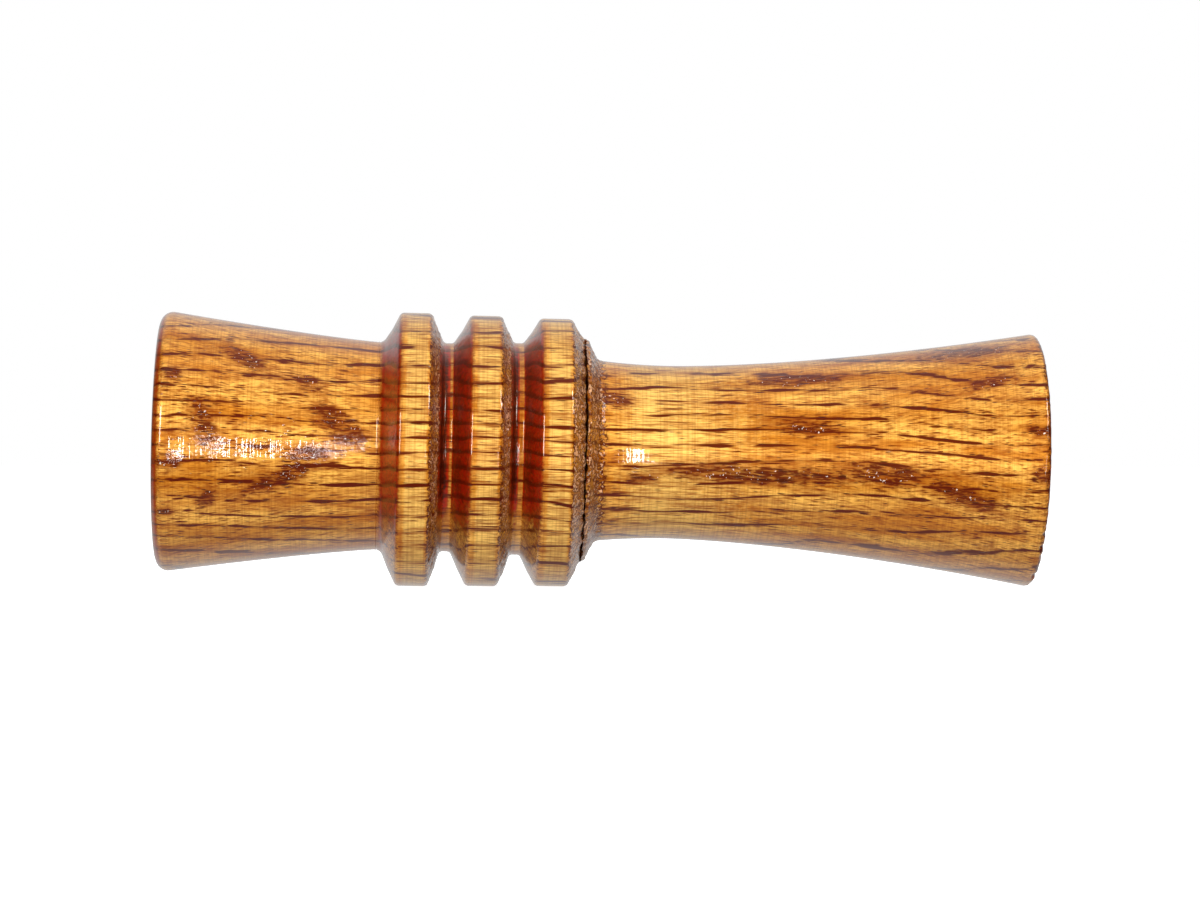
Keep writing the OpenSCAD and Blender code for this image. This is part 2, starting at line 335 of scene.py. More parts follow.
@dataclass(frozen=True)
class LacqueredOak(Finish):
    """Red oak, turned, left from the tool, and dipped in clear amber lacquer.

    It gives the eye dark pore lines that run with the grain, end grain that drinks the lacquer
    and goes red-brown, torn and greyish where the tool met it head on, and a wet gloss over all.
    Painted into its colour are white glints on torn fibre ends and near-black shade deep in the
    grooves.

    Attributes:
        shift: which part of the plank the piece was cut from, in millimetres.
        flecks: its patches of torn pores.
        layer: height of a yearly layer, in millimetres.
        pore_wide: width of a long pore, in millimetres.
        pore_long: its length, in millimetres.
    """

    shift: tuple[float, float, float]
    flecks: tuple[Fleck, ...]
    sanded: str = "#ffcf6c"
    pale: str = "#ffbe54"
    gold: str = "#d08424"
    amber: str = "#8a3800"
    line: str = "#561000"
    pore: str = "#4a1400"
    soaked: str = "#a00c00"
    # near-black: stain of the early wood that drank most, and painted shade deep in the grooves
    drowned_and_shade: str = "#240200"
    torn_red: str = "#4c0e00"
    # white of the painted glints on torn fibre ends
    torn_dry: str = "#dca478"
    glint: str = "#fff0dc"
    sheen: str = "#ffc070"
    layer: float = 2.1
    pore_wide: float = 0.31
    pore_long: float = 7.0

    def surface(self, put: Put, place: Socket) -> Fed:
        """Draws the wood, its stains and its lacquer.

        Args:
            put: adds a node to the material.
            place: the place on the piece, in metres.

        Returns:
            What the shader's inputs get, by their names.
        """
        mm = put("ShaderNodeMapping", {"Vector": place, "Scale": (1000, 1000, 1000)})
        wood = put(VECTOR, (mm, self.shift), operation="ADD")
        soak, torn = (put("ShaderNodeAttribute", attribute_name=name).outputs["Fac"]
                      for name in ("soak", "torn"))
        streaks = partial(self._streaks, put, wood)
        fleck = self._flecks(put, mm, streaks(1.6, 0.8, 2))
        early, line = self._layers(put, wood)
        dashes, halo, pores = self._pores(put, wood, early, fleck)
        ridges = put(NOISE, {
            "Vector": put(VECTOR, (mm, (1 / 0.3, 1 / 30, 1 / 30)), operation="MULTIPLY"),
            "Scale": 1.0, "Detail": 1.0})

        # Ground colour: clouds of pale and gold, then layer on layer of stain over them. The
        # near-black layer where the soaked mark passes 1.05 is painted shade deep in the grooves,
        # over the darkest stain
        clouds = put(RANGE, {"Value": streaks(22, 3.0, 2), "From Min": 0.4, "From Max": 0.62})
        ground = put(MIX, {"Factor": clouds, "A": linear(self.pale), "B": linear(self.gold)},
                     data_type="RGBA")
        patchy = put(MATH, (fleck, 0.245, streaks(2.0, 0.24, 3)), operation="MULTIPLY_ADD")
        flawed = put(MATH, (streaks(0.62, 0.42, 2), 0.5), operation="SUBTRACT")
        drunk_and_shade = put(MATH, (flawed, 0.7, soak), operation="MULTIPLY_ADD")
        # End grain drinks more in early wood, and less in small spots
        year = put(MATH, (early, drunk_and_shade), operation="MULTIPLY")
        speckle = put(MATH, (streaks(0.3, 0.5, 2), soak), operation="MULTIPLY")
        tear = put(MATH, (streaks(2.0, 1.6, 2), 3.0, -5.1), operation="MULTIPLY_ADD")
        tear = put(MATH, (streaks(0.5, 0.42, 2), 8.0, tear), operation="MULTIPLY_ADD")
        tear = put(MATH, (tear, torn), operation="MULTIPLY")
        for mask, low, high, most, stain in (
                (drunk_and_shade, -0.1, -0.5, 0.75, self.sanded),
                (streaks(7, 0.9, 2), 0.45, 0.68, 0.45, self.amber),
                (streaks(3.2, 0.2, 3), 0.46, 0.66, 0.78, self.amber),
                (ridges, 0.46, 0.6, 0.24, self.amber), (early, 0.0, 1.0, 0.2, self.amber),
                (fleck, 0.0, 0.8, 0.66, self.amber), (halo, 0.0, 1.0, 0.65, self.amber),
                (patchy, 0.63, 0.78, 0.95, self.line),
                (drunk_and_shade, 0.1, 0.6, 0.85, self.amber), (drunk_and_shade, 0.45, 1.0, 0.95, self.soaked),
                (speckle, 0.5, 0.72, 0.5, self.amber), (year, 0.15, 0.9, 0.6, self.drowned_and_shade),
                (line, 0.0, 1.0, 1.0, self.line), (dashes, 0.0, 1.0, 1.0, self.line),
                # painted shade: near-black where the mark passes 1.05, at the feet of the slopes in
                # the grooves
                (pores, 0.0, 1.0, 1.0, self.pore), (drunk_and_shade, 1.05, 1.45, 0.9, self.drowned_and_shade),
                (tear, 0.0, 0.3, 0.92, self.torn_red), (tear, 0.8, 1.2, 1.0, self.torn_dry)):
            share = put(RANGE, {"Value": mask, "From Min": low, "From Max": high, "To Max": most})
            ground = put(MIX, {"Factor": share, "A": ground, "B": linear(stain)}, data_type="RGBA")

        # Painted highlights: white specks on torn fibre ends and open grain, put in the colour
        # itself, stand in for glints of light
        painted_glints = put(NOISE, {"Vector": wood, "Scale": 2.8, "Detail": 2.0})
        open_grain = put(MATH, (fleck, torn), operation="MAXIMUM")
        painted_glints = put(MATH, (open_grain, 0.25, painted_glints), operation="MULTIPLY_ADD")
        painted_glints = put(RANGE, {"Value": painted_glints, "From Min": 0.91, "From Max": 0.97, "To Max": 0.8})
        colour = put(MIX, {"Factor": painted_glints, "A": ground, "B": linear(self.glint)}, data_type="RGBA")

        # Relief: pores sink, ridges of the tool run round, torn grain stands up
        raised = put(RANGE, {"Value": soak, "From Min": 0.5, "From Max": 1.1, "To Max": 0.22})
        raised = put(MATH, (raised, torn), operation="ADD")
        raised = put(MATH, (fleck, 0.4, raised), operation="MULTIPLY_ADD")
        rough = put(MATH, (streaks(0.5, 0.35, 3), raised), operation="MULTIPLY")
        deep = put(BUMP, {"Strength": 1.0, "Distance": 0.06 * MM, "Height": pores}, invert=True)
        skin = put(BUMP, {"Strength": 1.0, "Distance": 0.12 * MM, "Height": rough})
        for relief, strength, distance, sunk in (
                (ridges, 1.0, 0.0065 * MM, False), (streaks(0.9, 0.5, 1), 1.0, 0.006 * MM, False),
                (pores, 0.5, 0.03 * MM, True)):
            skin = put(BUMP, {"Strength": strength, "Distance": distance, "Height": relief,
                              "Normal": skin}, invert=sunk)
        return {
            "Base Color": colour, "Metallic": 0.15, "Roughness": 0.4, "IOR": 1.5, "Normal": deep,
            "Specular Tint": linear(self.sheen), "Coat Weight": 1.0, "Coat Roughness": 0.04,
            "Coat IOR": 1.5, "Coat Normal": skin}

    def _streaks(self, put: Put, wood: Node, long: float, wide: float, detail: float) -> Node:
        """Noise that is drawn out along the grain, with its cells' size in millimetres."""
        drawn = put(VECTOR, (wood, (1 / long, 1 / wide, 1 / wide)), operation="MULTIPLY")
        return put(NOISE, {"Vector": drawn, "Scale": 1.0, "Detail": detail, "Roughness": 0.55})

    def _layers(self, put: Put, wood: Node) -> tuple[Node, Node]:
        """Draws the yearly layers, which lie flat and wander a little.

        Args:
            put: adds a node to the material.
            wood: the place in the wood, in millimetres.

        Returns:
            How far a place is in the porous early wood, and the dark dashes at its start.
        """
        streaks = partial(self._streaks, put, wood)
        upward = put(SPLIT, (wood,)).outputs["Z"]
        phase = put(MATH, (upward, self.layer), operation="DIVIDE")
        for wave, much in ((streaks(48, 15, 1), 2.2), (streaks(11, 5, 1), 0.5)):
            phase = put(MATH, (wave, much, phase), operation="MULTIPLY_ADD")
        share = put(MATH, (phase,), operation="FRACT")
        early = put(RANGE, {"Value": share, "From Min": 0.5, "From Max": 0.1},
                    interpolation_type="SMOOTHSTEP")
        # Distance from the start of the early wood, in millimetres
        away = put(MATH, (share, 0.14), operation="SUBTRACT")
        away = put(MATH, (away,), operation="ABSOLUTE")
        away = put(MATH, (away, self.layer), operation="MULTIPLY")
        half = put(MATH, (streaks(6, 1.1, 1), 0.41), operation="SUBTRACT")
        inside = put(MATH, (half, away), operation="SUBTRACT")
        return early, put(RANGE, {"Value": inside, "From Min": -0.05, "From Max": 0.06})

    def _pores(self, put: Put, wood: Node, early: Node, fleck: Node) -> list[Node]:
        """Draws the pores: tubes along the grain, long in early wood and short in flecks.

        Args:
            put: adds a node to the material.
            wood: the place in the wood, in millimetres.
            early: how far the place is in early wood.
            fleck: how far it is in a fleck.

        Returns:
            The long dashes, the stained wood round them, and the small open pores, each from
            0 to 1.
        """
        masks = []
        dense = put(MATH, (early, 0.22, 0.26), operation="MULTIPLY_ADD")
        crowd = put(MATH, (early, 0.16, 0.13), operation="MULTIPLY_ADD")
        crowd = put(MATH, (fleck, 0.2, crowd), operation="MULTIPLY_ADD")
        for long, wide, room, soft in (
                (self.pore_long, self.pore_wide, dense, (0.05, 0.3)),
                (2.8, 0.3, crowd, (0.12,))):
            drawn = put(VECTOR, (wood, (1 / long, 1 / wide, 1 / wide)), operation="MULTIPLY")
            grown = put(CELLS, {"Vector": drawn, "Scale": 1.0})
            chance = put("ShaderNodeSeparateColor", (grown.outputs["Color"],)).outputs["Red"]
            likely = put(RANGE, {"Value": chance, "From Min": 0.1})
            reach = put(MATH, (room, likely), operation="MULTIPLY")
            inside = put(MATH, (reach, grown.outputs["Distance"]), operation="SUBTRACT")
            masks += [put(RANGE, {"Value": inside, "From Min": -width, "From Max": 0.04})
                      for width in soft]
        return masks

    def _flecks(self, put: Put, mm: Node, edge: Node) -> Node:
        """Draws the slanting patches of torn pores.

        Args:
            put: adds a node to the material.
            mm: the place on the call, in millimetres.
            edge: the noise that makes their edges ragged.

        Returns:
            1 in a patch and 0 between them.
        """
        total = put("ShaderNodeValue")
        total.outputs[0].default_value = 0
        for spot in self.flecks:
            turned = put("ShaderNodeMapping", {
                "Vector": mm, "Location": (spot.place, 0, spot.height),
                "Rotation": (0, -math.radians(spot.slant), 0),
                "Scale": (spot.length, 40, spot.width)}, vector_type="TEXTURE")
            reach = put(VECTOR, (turned,), operation="LENGTH").outputs["Value"]
            near = put(RANGE, {"Value": reach, "From Min": 1.5, "From Max": 0.5})
            total = put(MATH, (total, near), operation="MAXIMUM")
        ragged = put(MATH, (edge, 1.8, -0.9), operation="MULTIPLY_ADD")
        shaped = put(MATH, (total, ragged), operation="ADD")
        shaped = put(MATH, (shaped, total), operation="MULTIPLY")
        return put(RANGE, {"Value": shaped, "From Min": 0.0, "From Max": 0.85})


@dataclass(frozen=True)
class Speckled(Finish):
    """A plain finish whose colour and relief follow one fine noise.

    Attributes:
        ground: its colour where the noise is low.
        spots: its colour where the noise is high.
        grain: size of one spot, along X and across it.
        detail: how far the noise is broken up.
        relief: strength and height of the relief.
        shine: what the shader's other inputs get.
    """

    ground: str
    spots: str
    grain: Point
    detail: float
    relief: Point
    shine: Fed

    def surface(self, put: Put, place: Socket) -> Fed:
        """Draws the noise, and the colour and relief that follow it.

        Args:
            put: adds a node to the material.
            place: the place on the piece, in metres.

        Returns:
            What the shader's inputs get, by their names.
        """
        along, across = self.grain
        drawn = put(VECTOR, (place, (1 / along, 1 / across, 1 / across)), operation="MULTIPLY")
        mark = put(NOISE, {"Vector": drawn, "Scale": 1.0, "Detail": self.detail})
        tint = put(MIX, {"Factor": mark, "A": linear(self.ground), "B": linear(self.spots)},
                   data_type="RGBA")
        strength, height = self.relief
        bump = put(BUMP, {"Strength": strength, "Distance": height, "Height": mark})
        return {"Base Color": tint, "Normal": bump, **self.shine}


@dataclass(frozen=True)
class TurnedAcetal(Speckled):
    """Acetal rod, turned and milled: dense, waxy white, with faint tool rings.

    It gives the eye a soft, slightly see-through shine with no sparkle. The rings lie about
    0.25 mm apart and are drawn at 0.5 mm so that they show.
    """

    name: str = "acetal_turned"
    ground: str = "#e9e4d6"
    spots: str = "#d8d0bc"
    grain: Point = (0.5 * MM, 16.667 * MM)
    detail: float = 2.0
    relief: Point = (0.6, 0.01 * MM)
    shine: Fed = field(default_factory=lambda: {
        "Roughness": 0.34, "IOR": 1.48, "Subsurface Weight": 0.25,
        "Subsurface Radius": (1.0, 0.9, 0.7), "Subsurface Scale": 1.2 * MM})


@dataclass(frozen=True)
class FrostedFilm(Speckled):
    """Polyester film, one side matt, cut to reeds: milky, with a thin bright edge.

    It gives the eye a pale bluish veil through which the tone board shows. The matting of about
    0.02 mm is drawn at 0.3 mm so that it shows.
    """

    name: str = "polyester_film_frosted"
    ground: str = "#dfe8ee"
    spots: str = "#f4f6f6"
    grain: Point = (0.303 * MM, 0.303 * MM)
    detail: float = 2.0
    relief: Point = (0.4, 0.01 * MM)
    shine: Fed = field(default_factory=lambda: {
        "Roughness": 0.3, "IOR": 1.6, "Transmission Weight": 0.45})


@dataclass(frozen=True)
class NitrileRubber(Speckled):
    """Nitrile rubber, moulded: black, with a fine bloom on it.

    It gives the eye a dull, slightly oily sheen, broken by spots of about 1 mm.
    """

    name: str = "nitrile_rubber_moulded"
    ground: str = "#141414"
    spots: str = "#2c2b2a"
    grain: Point = (1.111 * MM, 1.111 * MM)
    detail: float = 3.0
    relief: Point = (0.3, 0.02 * MM)
    shine: Fed = field(default_factory=lambda: {"Roughness": 0.42, "IOR": 1.52})


@dataclass(frozen=True)
class PressedCork(Finish):
    """Cork granules pressed in a binder, cut with a knife: matt and speckled.

    It gives the eye tan grains of about 1 mm with dark gaps and a few pits.
    """

    name: str = "cork_pressed"
    tan: str = "#c89a64"
    brown: str = "#94643a"
    gap: str = "#4a2c16"
    grain: float = 1.1 * MM
    pit: float = 0.12 * MM

    def surface(self, put: Put, place: Socket) -> Fed:
        """Draws the grains and the gaps between them.

        Args:
            put: adds a node to the material.
            place: the place on the piece, in metres.

        Returns:
            What the shader's inputs get, by their names.
        """
        size = {"Vector": place, "Scale": 1 / self.grain}
        own = put("ShaderNodeSeparateColor", (put(CELLS, size).outputs["Color"],))
        tint = put(MIX, {"Factor": own.outputs["Red"], "A": linear(self.tan),
                         "B": linear(self.brown)}, data_type="RGBA")
        away = put(CELLS, size, feature="DISTANCE_TO_EDGE").outputs["Distance"]
        seam = put(RANGE, {"Value": away, "From Min": 0.0, "From Max": 0.09})
        tint = put(MIX, {"Factor": seam, "A": linear(self.gap), "B": tint}, data_type="RGBA")
        bump = put(BUMP, {"Strength": 1.0, "Distance": self.pit, "Height": seam})
        return {"Base Color": tint, "Roughness": 0.82, "Normal": bump}


@dataclass(frozen=True)
class PaintedFloor(Finish):
    """Studio floor, sprayed matt white: pale and even.

    It gives the eye a plain white ground with a faint orange-peel of 2.5 mm.
    """

    name: str = "studio_paint_sprayed"
    light: str = "#fbfaf8"
    shade: str = "#f6f5f3"
    peel: float = 2.5 * MM
    glow: float = 1.0

    def surface(self, put: Put, place: Socket) -> Fed:
        """Draws the paint's orange-peel and its even white.

        Args:
            put: adds a node to the material.
            place: the place on the floor, in metres.

        Returns:
            What the shader's inputs get, by their names.
        """
        peel = put(NOISE, {"Vector": place, "Scale": 1 / self.peel})
        tint = put(MIX, {"Factor": peel, "A": linear(self.light), "B": linear(self.shade)},
                   data_type="RGBA")
        return {"Base Color": tint, "Roughness": 0.9, "Specular IOR Level": 0.1,
                "Emission Color": linear("#ffffff"), "Emission Strength": self.glow}


# Turning


@dataclass(frozen=True)
class Lathe:
    """Turns an outline round the call's axis, with the marks that turning leaves in oak.

    Attributes:
        axis_height: the axis over the table.
        middle: the call's middle, from the mouth end.
        steps_round: flat steps in a full turn.
        tear_height: how far torn grain stands up or is sunk.
        tear_size: size of one torn tuft.
        run_out: how far the beads sit below the axis of the rest, which was turned later.
        seam_wander: how far the edges at the seam are broken back.
        chip_depth: how deep the chips in the exhaust end's edge are.
        chip_angle: where they are, in degrees round from the top towards the back.
        open_angle: where the beads' fibres are cut most open, and drink most, on both sides.
        creep: how far soaked end grain stains the wood beside it.
        creep_points: how many points of the outline that is at most, each way.
        sharp: the angle between faces, in degrees, from which an edge is sharp.
        seed: picks the pattern of tufts and chips.
    """

    axis_height: float
    middle: float
    steps_round: int = 288
    tear_height: float = 0.16 * MM
    tear_size: float = 0.75 * MM
    run_out: float = 0.4 * MM
    seam_wander: float = 0.32 * MM
    chip_depth: float = 0.5 * MM
    chip_angle: float = 215.0
    open_angle: float = 288.0
    creep: float = 0.9 * MM
    creep_points: int = 6
    sharp: float = 50.0
    seed: float = 3.0

    def tree(self) -> bpy.types.GeometryNodeTree:
        """Builds the tree that sweeps an outline's points round the axis.

        Returns:
            A tree with named inputs for the steps, heights and sizes, and the finish.
        """
        tree = bpy.data.node_groups.new("turned_on_the_lathe", "GeometryNodeTree")
        numbers = ("Tear height", "Tear size", "Run-out", "Seam wander", "Chip depth",
                   "Chip angle", "Open angle", "Seed", "Axis height")
        for name, way, kind in (
                ("Outline", "INPUT", "Geometry"), ("Steps round", "INPUT", "Int"),
                *((number, "INPUT", "Float") for number in numbers),
                ("Finish", "INPUT", "Material"), ("Turned", "OUTPUT", "Geometry")):
            tree.interface.new_socket(name, in_out=way, socket_type="NodeSocket" + kind)
        put = partial(add, tree)
        given = put("NodeGroupInput").outputs
        rows = put("GeometryNodeAttributeDomainSize", {"Geometry": given["Outline"]},
                   component="MESH").outputs["Point Count"]
        columns = put(MATH, (given["Steps round"], 1.0))
        grid = put("GeometryNodeMeshGrid", {"Vertices X": rows, "Vertices Y": columns})
        index = put("GeometryNodeInputIndex")
        row = put(MATH, (put(MATH, (index, 0.5)), columns), operation="DIVIDE")
        row = put(MATH, (row,), operation="FLOOR")
        column = put(MATH, (index, columns), operation="MODULO")
        turn = put(MATH, (column, given["Steps round"]), operation="DIVIDE")
        turn = put(MATH, (turn, math.tau), operation="MULTIPLY")

        def of_row(value: Node, kind: str) -> Node:
            """Reads a value of the outline at the row."""
            return put("GeometryNodeSampleIndex", {
                "Geometry": given["Outline"], "Value": value, "Index": row},
                data_type=kind, domain="POINT")

        lean, rise, torn, chip, seam, loose, soak, sided = (
            of_row(put("GeometryNodeInputNamedAttribute", {"Name": name}, data_type="FLOAT"),
                   "FLOAT")
            for name in ("lean", "rise", "torn", "chip", "seam", "loose", "soak", "sided"))
        point = of_row(put("GeometryNodeInputPosition"), "FLOAT_VECTOR")
        split = put(SPLIT, (point,)).outputs
        sine, cosine = (put(MATH, (turn,), operation=wave) for wave in ("SINE", "COSINE"))
        outward = put(JOIN, {"Y": sine, "Z": cosine})
        facing, smooth = (
            put(VECTOR, (put(VECTOR, {0: outward, "Scale": out}, operation="SCALE"),
                         put(JOIN, {"X": along})), operation="ADD")
            for out, along in ((rise, lean), (split["Z"], split["X"])))

        # Torn grain stands up and sinks along the surface's own facing
        tuft_size = put(MATH, (1.0, given["Tear size"]), operation="DIVIDE")
        spot = put(VECTOR, {0: smooth, "Scale": tuft_size}, operation="SCALE")
        tufts = put(NOISE, {"Vector": spot, "W": given["Seed"], "Scale": 1.0, "Detail": 2.0},
                    noise_dimensions="4D")
        height = put(RANGE, {"Value": tufts, "From Min": 0.3, "From Max": 0.7, "To Min": -1.0,
                             "To Max": 0.6})
        height = put(MATH, (height, torn), operation="MULTIPLY")
        height = put(MATH, (height, given["Tear height"]), operation="MULTIPLY")

        # Chips are bitten out of the exhaust end's edge where a slow noise is high
        around = put(VECTOR, {0: outward, "Scale": 7.0}, operation="SCALE")
        bite = put(NOISE, {"Vector": around, "W": given["Seed"], "Scale": 1.0, "Detail": 3.0},
                   noise_dimensions="4D")
        bite = put(RANGE, {"Value": bite, "From Min": 0.48, "From Max": 0.54, "To Max": -1.0})
        side = put(MATH, (turn, given["Chip angle"]), operation="SUBTRACT")
        side = put(MATH, (side,), operation="COSINE")
        side = put(RANGE, {"Value": side, "From Min": 0.86, "From Max": 0.94})
        for share in (side, chip):
            bite = put(MATH, (bite, share), operation="MULTIPLY")
        height = put(MATH, (bite, given["Chip depth"], height), operation="MULTIPLY_ADD")
        moved = put(VECTOR, {0: facing, "Scale": height}, operation="SCALE")
        moved = put(VECTOR, (smooth, moved), operation="ADD")

        # The seam's edges are broken back along the axis, each on its own
        own = put(MATH, (given["Seed"], put(MATH, (seam,), operation="SIGN")), operation="ADD")
        around = put(VECTOR, {0: outward, "Scale": 12.0}, operation="SCALE")
        jag = put(NOISE, {"Vector": around, "W": own, "Scale": 1.0, "Detail": 3.0},
                  noise_dimensions="4D")
        back = put(RANGE, {"Value": jag, "From Min": 0.45, "From Max": 0.7})
        for share in (seam, given["Seam wander"]):
            back = put(MATH, (back, share), operation="MULTIPLY")
        drop = put(MATH, (loose, given["Run-out"]), operation="MULTIPLY")
        raised = put(MATH, (given["Axis height"], drop), operation="SUBTRACT")
        moved = put(VECTOR, (moved, put(JOIN, {"X": back, "Z": raised})), operation="ADD")
        swept = put("GeometryNodeSetPosition", {
            "Geometry": grid.outputs["Mesh"], "Position": moved})

        # Above and below, the fibres lie flatter in the beads and drink less
        cut = put(MATH, (turn, given["Open angle"]), operation="SUBTRACT")
        for wave in ("COSINE", "ABSOLUTE"):
            cut = put(MATH, (cut,), operation=wave)
        cut = put(MATH, (tufts, 0.4, cut), operation="MULTIPLY_ADD")
        closed = put(RANGE, {"Value": cut, "From Min": 0.96, "From Max": 0.68, "To Max": 0.8})
        closed = put(MATH, (closed, sided), operation="MULTIPLY")
        drunk_and_shade = put(MATH, (soak, 0.0), operation="MAXIMUM")
        drunk_and_shade = put(MATH, (drunk_and_shade, closed), operation="MULTIPLY")
        soak = put(MATH, (soak, drunk_and_shade), operation="SUBTRACT")
        for name, value in (("soak", soak), ("torn", torn)):
            swept = put("GeometryNodeStoreNamedAttribute", {
                "Geometry": swept, "Name": name, "Value": value},
                data_type="FLOAT", domain="POINT")
        for step, more in (("MergeByDistance", {"Distance": WELD}), ("SetShadeSmooth", {}),
                           ("RealizeInstances", {}), ("SetMaterial", {
                               "Material": given["Finish"]})):
            swept = put("GeometryNode" + step, {"Geometry": swept, **more})
        put("NodeGroupOutput", {"Turned": swept})
        return tree

    def turn(self, name: str, outline: list[Point],
             shares: Callable[[float, float, float], Shares],
             finish: bpy.types.Material) -> bpy.types.Object:
        """Turns a closed outline into a piece.

        Args:
            name: the piece's name.
            outline: its points, round the section, with the first not repeated at the end.
            shares: gives the marks at a place, radius and lean. They are soak and the most of
                it that creeps in, sided, torn, chip, seam and loose, each 0 where it is left out.
            finish: the piece's material.

        Returns:
            The piece, closed, with its faces outwards, at the origin.
        """
        closed = outline + outline[:1]
        mesh = bpy.data.meshes.new(name + "_outline")
        mesh.from_pydata([(s - self.middle, 0.0, r) for s, r in closed],
                         [(i, i + 1) for i in range(len(closed) - 1)], [])
        rows: dict[str, list[float]] = {
            key: [] for key in ("lean", "rise", "soak", "most", "sided", "torn", "chip", "seam",
                                 "loose")}
        for i in range(len(closed)):
            before, after = outline[i % len(outline) - 1], outline[(i + 1) % len(outline)]
            along, up = after[0] - before[0], after[1] - before[1]
            size = math.hypot(along, up) or 1.0
            row = {"lean": -up / size, "rise": along / size, "most": NO_LIMIT}
            row.update(shares(*closed[i], row["lean"]))
            for key, values in rows.items():
                values.append(row.get(key, 0.0))
        # The lacquer that end grain drinks creeps a little way into the wood beside it
        near = [slice(max(0, i - self.creep_points), i + self.creep_points + 1)
                for i in range(len(closed))]
        rows["soak"] = [
            min(most, max(soak - math.dist(spot, other) / self.creep
                          for other, soak in zip(closed[part], rows["soak"][part])))
            for spot, part, most in zip(closed, near, rows.pop("most"))]
        for key, values in rows.items():
            mesh.attributes.new(key, "FLOAT", "POINT").data.foreach_set("value", values)
        made = bpy.data.objects.new(name, mesh)
        bpy.context.scene.collection.objects.link(made)
        tree = self.tree()
        work = made.modifiers.new("turning", "NODES")
        work.node_group = tree
        given = {
            "Steps round": self.steps_round, "Tear height": self.tear_height,
            "Tear size": self.tear_size, "Run-out": self.run_out,
            "Seam wander": self.seam_wander, "Chip depth": self.chip_depth,
            "Chip angle": math.radians(self.chip_angle),
            "Open angle": math.radians(self.open_angle),
            "Seed": self.seed, "Axis height": self.axis_height, "Finish": finish}
        for socket in tree.interface.items_tree:
            if socket.name in given:
                work[socket.identifier] = given[socket.name]
        settled(made)
        with opened(made.data) as shell:
            if shell.calc_volume(signed=True) < 0:
                bmesh.ops.reverse_faces(shell, faces=shell.faces[:])
        made.data.set_sharp_from_angle(angle=math.radians(self.sharp))
        log.info("%s: %d faces", name, len(made.data.polygons))
        return made


# Sub-assemblies


